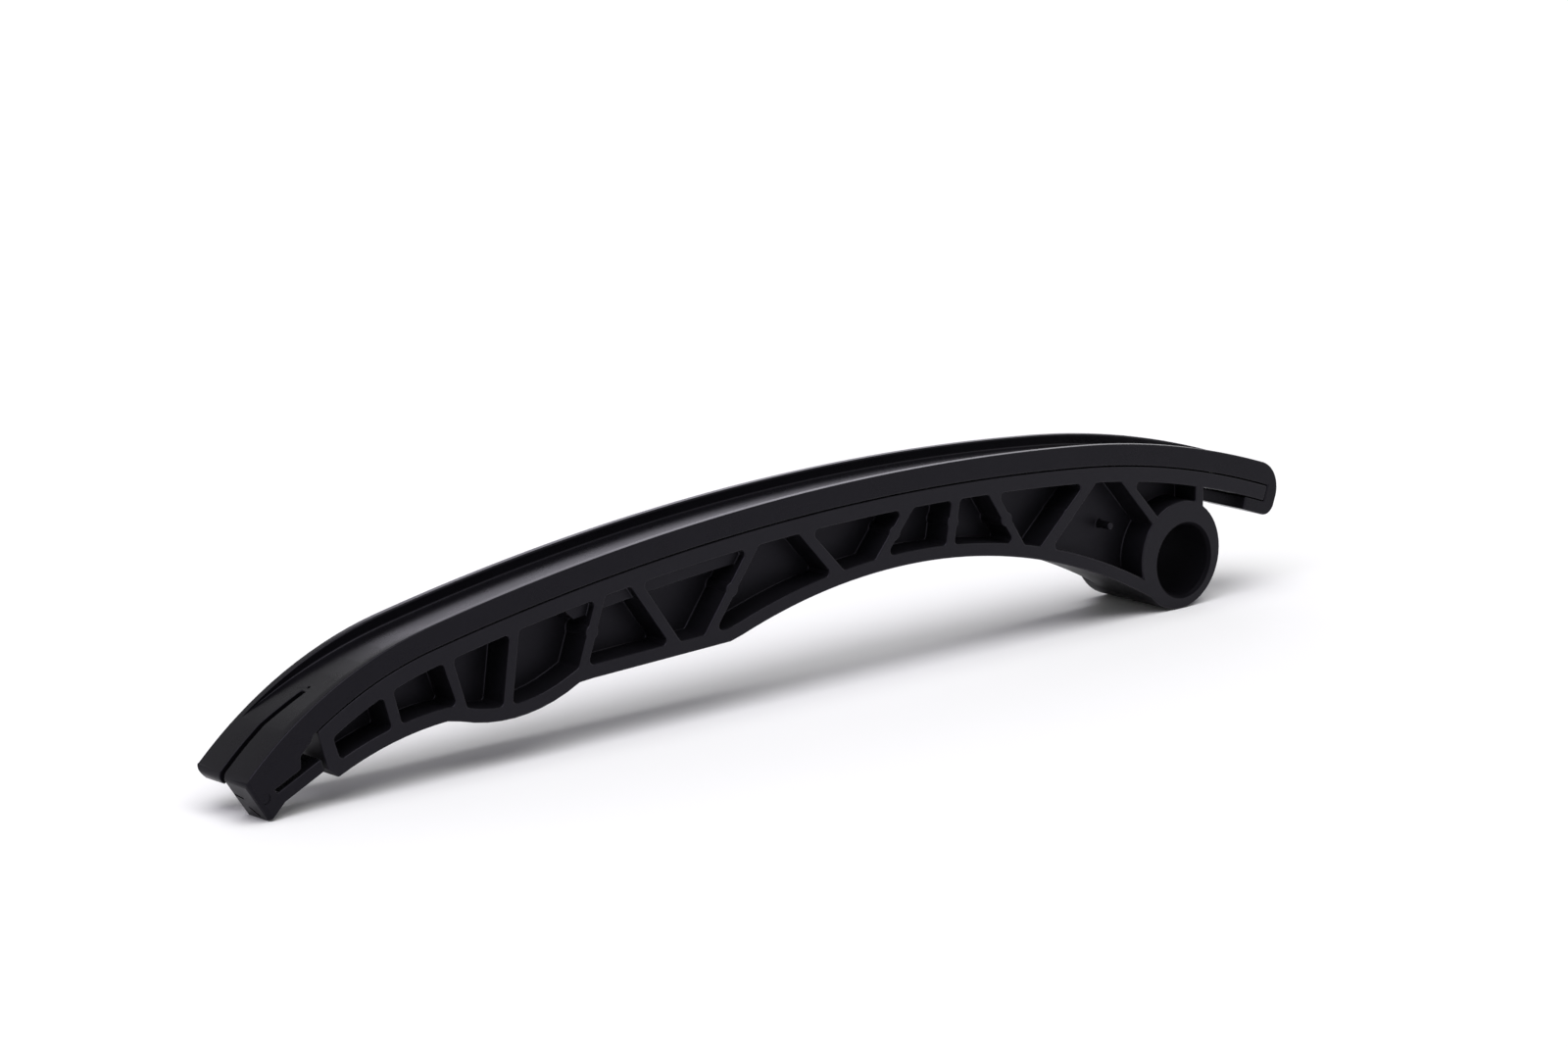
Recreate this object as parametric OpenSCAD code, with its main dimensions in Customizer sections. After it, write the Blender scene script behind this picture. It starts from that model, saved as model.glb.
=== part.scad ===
// Pivoted timing chain guide: a ribbed carrier with a slide lining clipped over its top.
// The origin is on the axis of the pivot bore, halfway across the rail.
// X runs along the rail towards the head, Y across it to the back, Z up to the chain.

/* [Pivot] */
// Diameter of the pivot bore
bore_d = 12; // [9:0.5:14]
// Chamfer at both ends of the bore
bore_chamfer = 0.5; // [0.2:0.1:0.9]
// Outside radius of the pivot boss
boss_r = 9.25; // [9:0.25:11]
// Length of the pivot boss, measured from the front face of the rail
boss_len = 16; // [14:0.5:24]
// Boss centre from the bore axis, along the rail
boss_dx = -0.7; // [-1:0.1:0.5]
// Boss centre from the bore axis, upwards
boss_dz = 1; // [0:0.1:1]

/* [Sliding curve] */
// Place of the crown, the highest point of the guide flanges, along the rail
crown_x = -65; // [-68:0.5:-62]
// Height of the crown above the bore axis
crown_z = 24.8; // [24:0.2:28]
// Radius of the long crown arc
crown_r = 470; // [420:10:560]
// Length of the crown arc from the crown to the tail arc
tail_start = 93.6; // [88:0.2:97]
// Radius of the tail arc
tail_r = 67; // [60:1:75]
// Length of the tail arc
tail_len = 38.2; // [35:0.2:40]
// Length of the crown arc from the crown to the head arc
head_start = 41.5; // [38:0.5:44]
// Radius of the head arc
head_r = 182; // [160:2:220]
// Length of the head arc
head_len = 48.9; // [44:0.1:54]

/* [Slide lining] */
// Width of the lining and of the carrier under it
rail_w = 12.8; // [11:0.2:16]
// Thickness of the lining under the chain
floor_t = 1.8; // [1.4:0.1:2.4]
// Height of the guide flanges above the sliding face
flange_h = 1.8; // [1:0.1:2.4]
// Thickness of the guide flanges
flange_t = 1.3; // [0.8:0.1:1.8]
// Length over which the flanges run out at the tail
tail_runout = 28; // [20:1:30]
// Length over which the flanges run out at the head
head_runout = 24; // [15:1:35]
// Joint gap between the lining and the carrier
seam = 0.12; // [0.05:0.01:0.3]
// Rounding of the upper corner of the head
nose_r = 5; // [3:0.5:6]
// Rounding of the lower corner of the head
lip_r = 2.2; // [0.5:0.1:2.5]
// Thickness of the wall across the end of the carrier's tongue
nose_t = 2.7; // [2:0.1:4]
// Thickness of the lip under the tongue
lip_t = 2.2; // [1.5:0.1:3]
// Length of the lip, with the nose
lip_len = 7.6; // [5:0.2:12]

/* [Tail hook] */
// Thickness of the plain half of the tail
skin_t = 2; // [1.4:0.1:3]
// Rounding of the tail's upper edge
tail_edge_r = 1.2; // [0.4:0.1:1.8]
// Width of the slot between the two halves of the tail
slot_w = 1.1; // [0.6:0.1:2]
// Length of the slot from the end of the tail
slot_len = 18.5; // [16:0.5:26]
// Outward lean of the hook's end face at the tip
hook_lean = 1.1; // [0:0.1:2]
// Length of the hook's lower face
hook_foot = 3.6; // [2.5:0.1:4.5]
// Depth of the skirt beside the carrier's end
skirt_h = 5.2; // [4.4:0.1:5.4]
// Distance from the end of the carrier to the end of the skirt's level edge
skirt_in = 2.5; // [2:0.1:4]
// Thickness of the leaf below the slit
leaf_t = 2; // [1.2:0.1:2.4]
// Fall of the leaf against the face of the tail
leaf_fall = 19.5; // [15:0.5:24]
// Height of the slit above the leaf
slit_h = 0.65; // [0.4:0.05:0.9]
// Distance from the end of the tail to the slit
slit_in = 2.7; // [2:0.1:4]
// Distance from the end of the tail to the opening at the end of the slit
opening_in = 7.6; // [6.5:0.1:9]
// Gap between the hook and the end of the carrier
end_gap = 0.6; // [0.3:0.05:1]

/* [Carrier] */
// Thickness of the band under the lining, and of the tongue at the head
band_t = 2.6; // [2:0.1:3.2]
// Thickness of the lower chord
chord_t = 2.2; // [1.6:0.1:2.8]
// Thickness of the ribs
rib_t = 1.8; // [1.2:0.1:2.4]
// Thickness of the web between the front and back pockets
web_t = 2.8; // [1.6:0.1:4]
// Rounding of the corners of the pockets
pocket_r = 0.7; // [0.3:0.1:1]
// Arc length from the end of the tail to the end of the carrier
carrier_in = 14.1; // [13:0.1:16]
// Thickness of the wall at the end of the carrier
end_t = 2.2; // [1.6:0.1:3]
// Lean of the end wall from the vertical, in degrees
end_lean = 16; // [10:1:20]
// Distance of the foot from the top of the end wall, along the rail
foot_in = 3.5; // [3:0.1:4.5]
// Height of the slanted edge beside the foot
foot_rise = 1.5; // [0.5:0.1:2]
// Gap between the tongue and the lip and nose around it
tongue_gap = 0.1; // [0.05:0.05:0.4]
// Place of the short rib between the boss and the tongue
head_rib_x = 3.7; // [2.6:0.1:4]

/* [Underside] */
// Place of the top of the main arch along the rail
arch_x = -62.9; // [-65:0.1:-61]
// Height of the top of the main arch
arch_z = 9.4; // [9:0.1:11]
// Radius of the main arch
arch_r = 112; // [104:1:120]
// Height of the flat beside the pad, halfway along it
flat_z = 3.2; // [2.6:0.1:3.6]
// Slope of the flat, in degrees
flat_slope = 2; // [0:0.5:4]
// Place of the plunger pad along the rail
pad_x = -143.4; // [-145:0.1:-141]
// Height of the lowest point of the plunger pad
pad_z = -1.1; // [-2.5:0.1:-0.6]
// Radius of the plunger pad
pad_r = 30; // [24:1:40]
// Place of the top of the tail arch along the rail
tail_arch_x = -152; // [-154:0.2:-150]
// Height of the top of the tail arch
tail_arch_z = 0.8; // [0.4:0.1:1.6]
// Radius of the tail arch
tail_arch_r = 57.5; // [50:0.5:65]

/* [Small features] */
// Depth of the stepped pocket roofs below the front and back faces
step_in = 1.35; // [0.8:0.05:2.5]
// Height of the stepped pocket roofs
step_h = 2.3; // [1.5:0.1:3]
// Start of the stepped roofs along the rail
step_x = -132; // [-136:0.5:-128]
// Diameter of the ejector pads on the ribs
pad_d = 2.4; // [2.4:0.1:3]
// Diameter of the locating pin on the web
pin_d = 1.3; // [0.8:0.1:2]
// Length of the locating pin
pin_len = 3; // [1:0.1:4]
// Place of the locating pin along the rail
pin_x = -15.3; // [-18:0.1:-13]
// Height of the locating pin
pin_z = 7.9; // [7:0.1:9]

/* [Hidden] */
$fa = 4;
$fs = 0.3;

// Each slanted rib, as its place along the band and its place along the lower chord
RIBS = [[-165.5, -164], [-154.5, -152], [-142, -143.5], [-125.5, -129], [-118.5, -111],
        [-95, -104], [-84.5, -77.5], [-62.5, -68.5], [-52.2, -53.5], [-44, -38], [-22, -32]];
// The ribs that carry ejector pads, counted from the tail
PADDED_RIBS = [3, 5, 7, 8, 9, 10];
// The last rib runs from the band into the boss
BOSS_RIB = [-13.7, -0.6];
// The stepped roofs end at this rib
STEP_RIB = 5;
// Turn round the boss, from its top, up to which the lower chord runs
BOSS_UNDER = 153;

EPS = 0.01;
OVER = 1;
SAMPLE = 2.5;
// Corners keep clear of the next point by this much of their radius, and take at most this much of an edge
CORNER_ROOM = 1.2;
EDGE_SHARE = 0.9;
// Strips of a rounded corner: the fewest, and the number for each millimetre of its radius
MIN_STRIPS = 6;
STRIPS_PER_MM = 3;
lining_h = floor_t + flange_h;
seat_d = lining_h + seam;
band_d = seat_d + band_t;
lip_d = band_d + tongue_gap;
tail_end = -tail_start - tail_len;
head_end = head_start + head_len;
carrier_end = tail_end + carrier_in;
skin_end = carrier_end - 2 * end_gap;
tongue_end = head_end - nose_t - tongue_gap;
pocket_in = (rail_w - web_t) / 2;
ground_z = boss_dz - boss_r;
chord_end_x = boss_dx - boss_r * sin(BOSS_UNDER);

// Centres of the three arcs of the sliding curve
crown_c = [crown_x, crown_z - crown_r];
tail_turn = deg(tail_start / crown_r);
head_turn = deg(head_start / crown_r);
tail_c = crown_c + (crown_r - tail_r) * [-sin(tail_turn), cos(tail_turn)];
head_c = crown_c + (crown_r - head_r) * [sin(head_turn), cos(head_turn)];
end_turn = tail_turn + deg(tail_len / tail_r);

function deg(radians) = radians * 180 / PI;
function unit(v) = v / norm(v);
function flat(p) = [for (q = p) [q[0], q[1]]];

// Point at arc length s from the crown and depth d below the flange tops, with corner radius r
function rail(s, d, r = 0) =
    s < -tail_start ? around(tail_c, tail_r - d, -tail_turn + deg((s + tail_start) / tail_r), r)
    : s > head_start ? around(head_c, head_r - d, head_turn + deg((s - head_start) / head_r), r)
    : around(crown_c, crown_r - d, deg(s / crown_r), r);
function around(c, radius, turn, r) = [c[0] + radius * sin(turn), c[1] + radius * cos(turn), r];

// Evenly spaced places from a to b, about SAMPLE apart
function places(a, b) = let(n = max(2, ceil(abs(b - a) / SAMPLE))) [for (i = [0 : n]) a + (b - a) * i / n];
function rail_run(a, b, d) = [for (s = places(a, b)) rail(s, d)];

// Height of the rail at place x and depth d below the flange tops
function rail_z(x, d) =
    x < tail_c[0] - (tail_r - d) * sin(tail_turn) ? arc_top(x, tail_c, tail_r - d)
    : x > head_c[0] + (head_r - d) * sin(head_turn) ? arc_top(x, head_c, head_r - d)
    : arc_top(x, crown_c, crown_r - d);
function arc_top(x, c, r) = c[1] + sqrt(max(0, r * r - (x - c[0]) * (x - c[0])));
function arc_low(x, c, r) = c[1] - sqrt(max(0, r * r - (x - c[0]) * (x - c[0])));

// Height of the underside at place x, raised by d
function under_z(x, d) =
    x < pad_x ? min(tail_arch(x, d), plunger(x, d))
    : x < arch_x ? min(plunger(x, d), max(flat_line(x, d), main_arch(x, d)))
    : main_arch(x, d);
function tail_arch(x, d) = arc_top(x, [tail_arch_x, tail_arch_z - tail_arch_r], tail_arch_r + d);
function main_arch(x, d) = arc_top(x, [arch_x, arch_z - arch_r], arch_r + d);
function plunger(x, d) = arc_low(x, [pad_x, pad_z + pad_r], pad_r - d);
function flat_line(x, d) = flat_z + (x - flat_mid) * tan(flat_slope) + d / cos(flat_slope);
flat_mid = (pad_x + arch_x) / 2;

// Outline with each corner [x, z, r] rounded to its radius
function rounded(p) = [for (i = [0 : len(p) - 1]) each
    p[i][2] == 0 ? [[p[i][0], p[i][1]]]
    : corner(flat([p[(i + len(p) - 1) % len(p)], p[i], p[(i + 1) % len(p)]]), p[i][2])];
function corner(p, r) =
    let(steps = max(MIN_STRIPS, ceil(STRIPS_PER_MM * r)))
    let(u = p[0] - p[1], w = p[2] - p[1], half = acos(unit(u) * unit(w)) / 2)
    let(reach = min(r / tan(half), EDGE_SHARE * min(norm(u), norm(w))), fit_r = reach * tan(half))
    let(c = p[1] + unit(unit(u) + unit(w)) * reach / cos(half))
    let(from = p[1] + unit(u) * reach - c, to = p[1] + unit(w) * reach - c)
    [for (i = [0 : steps]) c + fit_r * unit(from * (1 - i / steps) + to * i / steps)];

// Extrudes a side view across the rail, w wide and centred at y
module slab(w, y = 0) {
    translate([0, y, 0])
        rotate([90, 0, 0])
            linear_extrude(w, center = true)
                children();
}

// Draws a side view in the tail's own frame: x inwards along its face, y down into the hook
module at_tail() {
    translate(flat([rail(tail_end, 0)])[0])
        rotate(end_turn)
            mirror([0, 1])
                children();
}

// A round bar along Y from y to y + h, at [x, z]
module bar(at, y, d, h) {
    translate([at[0], y, at[1]])
        rotate([-90, 0, 0])
            cylinder(d = d, h = h);
}

// End wall of the carrier: its top, the foot below it and the point between them
wall_top = flat([rail(carrier_end, seat_d)])[0];
foot_x = wall_top[0] + foot_in;
foot = [foot_x, under_z(foot_x, 0)];
wall_low_z = foot[1] + foot_rise;
function wall_x(z, shift = 0) = wall_top[0] + (wall_top[1] - z) * tan(end_lean) + shift / cos(end_lean);

// Half the breadth of a rib, measured along the rail
function rib_half(rib) =
    let(top = [rib[0], rail_z(rib[0], band_d)], low = [rib[1], pocket_floor(rib[1])])
    rib_t / 2 / abs(unit(top - low)[1]);
function rib_left(rib) = rib - rib_half(rib) * [1, 1];
function rib_right(rib) = rib + rib_half(rib) * [1, 1];
function rib_mid(rib) = [(rib[0] + rib[1]) / 2, (rail_z(rib[0], band_d) + pocket_floor(rib[1])) / 2];

// Lower edge of the pockets: the chord, or the middle of the boss where the boss closes them
function pocket_floor(x) = x > chord_end_x ? boss_dz : under_z(x, chord_t);

// Left and right edges of every pocket, each as its place on the band and on the chord
pocket_top_z = rail_z(wall_top[0] + end_t, band_d);
left_edges = concat([[wall_x(pocket_top_z, end_t), wall_x(wall_low_z, end_t)]],
                    [for (rib = RIBS) rib_right(rib)], [rib_right(BOSS_RIB)]);
right_edges = concat([for (rib = RIBS) rib_left(rib)], [rib_left(BOSS_RIB)],
                     [rib_left([head_rib_x, head_rib_x])]);

// One pocket between a left and a right edge, with rounded corners
function pocket_outline(a, b) = rounded(concat(
    [for (x = places(a[0], b[0])) [x, rail_z(x, band_d), x == a[0] || x == b[0] ? pocket_r : 0]],
    [for (x = places(b[1], a[1])) [x, pocket_floor(x), x == a[1] || x == b[1] ? pocket_r : 0]]));

module pockets() {
    difference() {
        for (i = [0 : len(left_edges) - 1])
            polygon(pocket_outline(left_edges[i], right_edges[i]));
        translate([boss_dx, boss_dz])
            circle(boss_r);
    }
}

// Roofs that fill the top of some pockets up to a step below the faces
module stepped_roofs() {
    x_end = rib_right(RIBS[STEP_RIB])[0];
    polygon(concat(
        [for (x = places(step_x, x_end)) [x, rail_z(x, band_d - OVER)]],
        [for (x = places(x_end, step_x + step_h)) [x, rail_z(x, band_d + step_h)]],
        [[step_x, rail_z(step_x, band_d)]]));
}

module carrier_outline() {
    neck_x = head_rib_x + rib_half([head_rib_x, head_rib_x]);
    polygon(flat(concat(
        rail_run(carrier_end, tongue_end, seat_d),
        rail_run(tongue_end, head_s(neck_x, band_d), band_d),
        [[neck_x, boss_dz]],
        [for (x = places(chord_end_x, foot[0])) [x, under_z(x, 0)]],
        [[wall_x(wall_low_z), wall_low_z]])));
}
function head_s(x, d) = head_start + (asin((x - head_c[0]) / (head_r - d)) - head_turn) / deg(1) * head_r;

module carrier() {
    front_y = -rail_w / 2;
    color([0.13, 0.13, 0.145]) {
        difference() {
            union() {
                slab(rail_w)
                    carrier_outline();
                bar([boss_dx, boss_dz], front_y, 2 * boss_r, boss_len);
            }
            for (side = [-1, 1]) {
                slab(pocket_in, side * (rail_w - pocket_in) / 2)
                    difference() {
                        pockets();
                        stepped_roofs();
                    }
                slab(step_in, side * (rail_w - step_in) / 2)
                    pockets();
            }
            bore(front_y);
        }
        for (i = PADDED_RIBS, side = [-1, 1])
            bar(rib_mid(RIBS[i]), side < 0 ? front_y : web_t / 2, pad_d, pocket_in);
        bar([pin_x, pin_z], -web_t / 2 - pin_len, pin_d, pin_len);
    }
}

// Pivot bore through the boss, with a chamfer at each end
module bore(front_y) {
    wide = bore_d + 2 * bore_chamfer;
    bar([0, 0], front_y - OVER, bore_d, boss_len + 2 * OVER);
    translate([0, front_y - EPS, 0])
        rotate([-90, 0, 0])
            cylinder(d1 = wide, d2 = bore_d, h = bore_chamfer);
    translate([0, front_y + boss_len + EPS, 0])
        rotate([90, 0, 0])
            cylinder(d1 = wide, d2 = bore_d, h = bore_chamfer);
}

// Side view that the whole width of the lining shares
module lining_outline() {
    polygon(rounded(concat(
        [rail(tail_end, 0, tail_edge_r)],
        rail_run(tail_end + CORNER_ROOM * tail_edge_r, head_end - CORNER_ROOM * nose_r, 0),
        [rail(head_end, 0, nose_r), rail(head_end, lip_d + lip_t, lip_r)],
        [rail(head_end - lip_len, lip_d + lip_t), rail(head_end - lip_len, lip_d)],
        [rail(head_end - nose_t, lip_d), rail(head_end - nose_t, lining_h)],
        rail_run(head_end - nose_t - SAMPLE, skin_end, lining_h),
        rail_run(skin_end, tail_end, skin_t))));
}

// The sliding face that the chain runs on, which rises to the flange tops towards both ends
channel_from = -tail_start - tail_runout;
channel_to = head_end - nose_r;
channel_places = places(channel_to, channel_from);
function channel_d(s) =
    flange_h * (1 - pow(max(0, -(s + tail_start) / tail_runout, 1 - (channel_to - s) / head_runout), 2));
sliding_face = [for (s = channel_places) rail(s, channel_d(s))];

// Side view of the space over the sliding face, up to a height above the flange tops
module channel(above) {
    inner = [for (i = [len(channel_places) - 2 : -1 : 1]) channel_places[i]];
    polygon(flat(concat([for (s = inner) rail(s, -above)], sliding_face)));
}

// Hook below the front half of the tail, with its leaf, slit and opening
hook_h = (rail(tail_end, 0)[1] - hook_lean * sin(end_turn) - ground_z) / cos(end_turn);
leaf_x = hook_foot - hook_lean;
function leaf_line(x, up) = [x, hook_h + (x - leaf_x) * tan(leaf_fall) - up / cos(leaf_fall)];

module hook_outline() {
    far = carrier_in + end_t;
    difference() {
        at_tail()
            polygon([[0, tail_edge_r], [-hook_lean, hook_h], [leaf_x, hook_h], leaf_line(far, 0), [far, skin_t]]);
        at_tail()
            polygon([leaf_line(slit_in, leaf_t), leaf_line(slit_in, leaf_t + slit_h),
                     leaf_line(opening_in, leaf_t + slit_h), [opening_in + 2 * slit_h, skirt_h],
                     [carrier_in - skirt_in, skirt_h], [far, lining_h], leaf_line(far, leaf_t)]);
        carrier_side();
        polygon(flat(concat(rail_run(tail_end, carrier_end + far, 0), rail_run(carrier_end + far, tail_end, -far))));
    }
}

// Everything on the carrier's side of the gap at its end
module carrier_side() {
    high = wall_top[1] + lining_h;
    low = ground_z - OVER;
    far_x = wall_top[0] + 2 * carrier_in;
    polygon([[wall_x(high, -end_gap), high], [far_x, high], [far_x, low], [wall_x(low, -end_gap), low]]);
}

module slide_lining() {
    front_half = (rail_w - slot_w) / 2;
    color([0.07, 0.07, 0.08])
        difference() {
            union() {
                slab(rail_w)
                    lining_outline();
                slab(front_half, (front_half - rail_w) / 2)
                    hook_outline();
            }
            slab(rail_w + 2 * OVER)
                channel(OVER);
            slab(slot_w)
                polygon(flat(concat(rail_run(tail_end - OVER, tail_end + slot_len, -OVER),
                                    rail_run(tail_end + slot_len, tail_end - OVER, lining_h + OVER))));
        }
}

// The flanges are moulded on the lining, and stand on both edges of its sliding face
module guide_flanges() {
    color([0.07, 0.07, 0.08])
        for (side = [-1, 1])
            slab(flange_t, side * (rail_w - flange_t) / 2)
                channel(0);
}

carrier();
slide_lining();
guide_flanges();
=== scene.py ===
"""Timing chain guide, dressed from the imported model: rounded mouldings in two satin black plastics.

The carrier and the slide lining are rounded copies of their solids, so every size stays the one that the
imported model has. Lengths in this file are metres; mm() turns the drawing's millimetres into them.
"""

import logging
import math
from dataclasses import dataclass, field
from enum import Enum
from typing import Any, Callable, Iterable, Mapping, NamedTuple, TypeVar, Union

import bmesh
import bpy
from mathutils import Matrix, Vector


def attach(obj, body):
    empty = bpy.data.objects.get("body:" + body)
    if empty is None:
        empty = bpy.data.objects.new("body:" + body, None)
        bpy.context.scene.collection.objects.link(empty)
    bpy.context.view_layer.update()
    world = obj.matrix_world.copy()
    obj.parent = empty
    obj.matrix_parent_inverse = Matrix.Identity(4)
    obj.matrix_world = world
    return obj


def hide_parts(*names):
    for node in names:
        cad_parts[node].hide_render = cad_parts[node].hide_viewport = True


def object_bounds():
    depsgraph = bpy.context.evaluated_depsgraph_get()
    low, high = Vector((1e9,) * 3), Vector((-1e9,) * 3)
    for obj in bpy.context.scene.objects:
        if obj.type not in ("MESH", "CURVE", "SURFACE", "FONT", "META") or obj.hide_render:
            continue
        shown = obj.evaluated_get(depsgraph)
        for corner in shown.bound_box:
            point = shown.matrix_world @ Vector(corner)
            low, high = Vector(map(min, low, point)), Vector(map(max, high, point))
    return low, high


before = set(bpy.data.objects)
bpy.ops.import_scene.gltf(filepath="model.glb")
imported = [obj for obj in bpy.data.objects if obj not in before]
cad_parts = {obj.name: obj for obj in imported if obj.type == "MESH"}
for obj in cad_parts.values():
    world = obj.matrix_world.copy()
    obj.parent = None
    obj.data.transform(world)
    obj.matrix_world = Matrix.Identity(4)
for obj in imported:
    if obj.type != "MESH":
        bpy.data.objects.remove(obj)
CAD_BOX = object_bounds()

LOG = logging.getLogger("chain_guide")
BODY = "root"
# The mesh attribute that marks the rounded edges, which are painted paler: partly wear, partly a painted
# highlight.
WEAR_AND_SHINE = "edge_wear_and_shine"
SENSOR_WIDTH = 36.0

Number = Union[int, float]
Length = TypeVar("Length", float, Vector)
Colour = tuple[float, float, float]
Point = tuple[float, float, float]

# Meshes are sorted by their distance from this place, which lies off every plane of symmetry
SORT_FROM: Point = (-0.31, 0.17, 0.09)


def mm(length: Length) -> Length:
    """Turn a length or a point from millimetres into metres."""
    return length * 0.001


class Plastic(Enum):
    """The record's material slots."""

    CARRIER = "carrier"
    LINING = "slide_lining"


class Lamp(Enum):
    """The lamps of the studio."""

    OVERHEAD = "overhead_skylight"
    LEFT = "left_softbox"
    RIM = "rim_softbox"


class Socket:
    """An output socket of a node tree that can be used in sums and products."""

    def __init__(self, web: "NodeWeb", output: bpy.types.NodeSocket) -> None:
        """Wrap one output.

        Args:
            web: The node tree that the output belongs to.
            output: The output socket.
        """
        self.web = web
        self.output = output

    def _math(self, operation: str, first: "Value", second: "Value") -> "Socket":
        """Add a Math node.

        Args:
            operation: The Math node's operation.
            first: Its first value.
            second: Its second value.

        Returns:
            The node's result.
        """
        return self.web.node("ShaderNodeMath", {"operation": operation}, {0: first, 1: second})

    def __add__(self, other: "Value") -> "Socket":
        """Return self + other."""
        return self._math("ADD", self, other)

    def __radd__(self, other: "Value") -> "Socket":
        """Return other + self."""
        return self._math("ADD", other, self)

    def __sub__(self, other: "Value") -> "Socket":
        """Return self - other."""
        return self._math("SUBTRACT", self, other)

    def __rsub__(self, other: "Value") -> "Socket":
        """Return other - self."""
        return self._math("SUBTRACT", other, self)

    def __mul__(self, other: "Value") -> "Socket":
        """Return self times other."""
        return self._math("MULTIPLY", self, other)

    def __rmul__(self, other: "Value") -> "Socket":
        """Return other times self."""
        return self._math("MULTIPLY", other, self)


Value = Union[Socket, Number, tuple]


class NodeWeb:
    """A node tree that is built one node at a time."""

    def __init__(self, tree: bpy.types.NodeTree) -> None:
        """Empty the tree.

        Args:
            tree: The node tree of a material or of the world.
        """
        self.tree = tree
        tree.nodes.clear()

    def node(self, kind: str, settings: Mapping[str, Any] | None = None,
             inputs: Mapping[Union[str, int], Value] | None = None, output: Union[str, int] = 0) -> Socket:
        """Add a node, its settings first and its sockets after them.

        Args:
            kind: The node's type.
            settings: Values of the node's own properties; a ramp's stops are given as "stops".
            inputs: Values or links of its input sockets, by name or number.
            output: The output that the result stands for, by name or number.

        Returns:
            The chosen output.
        """
        made = self.tree.nodes.new(kind)
        for name, value in (settings or {}).items():
            if name == "stops":
                self._set_stops(made.color_ramp, value)
            else:
                setattr(made, name, value)
        for key, value in (inputs or {}).items():
            if isinstance(value, Socket):
                self.tree.links.new(value.output, made.inputs[key])
            else:
                made.inputs[key].default_value = value
        if not made.outputs:
            return Socket(self, None)
        return Socket(self, made.outputs[output])

    @staticmethod
    def _set_stops(ramp: bpy.types.ColorRamp, stops: Iterable[tuple[float, float]]) -> None:
        """Give a ramp its grey stops.

        Args:
            ramp: The ramp.
            stops: Pairs of position and grey value, two or more.
        """
        for count, (place, grey) in enumerate(stops):
            stop = ramp.elements[count] if count < 2 else ramp.elements.new(place)
            stop.position = place
            stop.color = (grey, grey, grey, 1.0)

    def noise(self, where: Socket, scale: float, detail: float = 2.0, roughness: float = 0.5) -> Socket:
        """Add a noise pattern.

        Args:
            where: The coordinates that it reads.
            scale: Cells per metre.
            detail: Octaves.
            roughness: Weight of the finer octaves.

        Returns:
            The pattern's value, from 0 to 1.
        """
        return self.node("ShaderNodeTexNoise", {"noise_dimensions": "3D"},
                         {"Vector": where, "Scale": scale, "Detail": detail, "Roughness": roughness})

    @staticmethod
    def opaque(colour: Union[Socket, Colour]) -> Value:
        """Return a colour as a socket takes it."""
        return colour if isinstance(colour, Socket) else (*colour, 1.0)

    def blend(self, share: Value, first: Union[Socket, Colour], second: Union[Socket, Colour]) -> Socket:
        """Mix two colours.

        Args:
            share: 0 for the first colour, 1 for the second.
            first: The first colour.
            second: The second colour.

        Returns:
            The mixed colour.
        """
        return self.node("ShaderNodeMix", {"data_type": "RGBA"},
                         {0: share, 6: self.opaque(first), 7: self.opaque(second)}, output=2)


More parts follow.
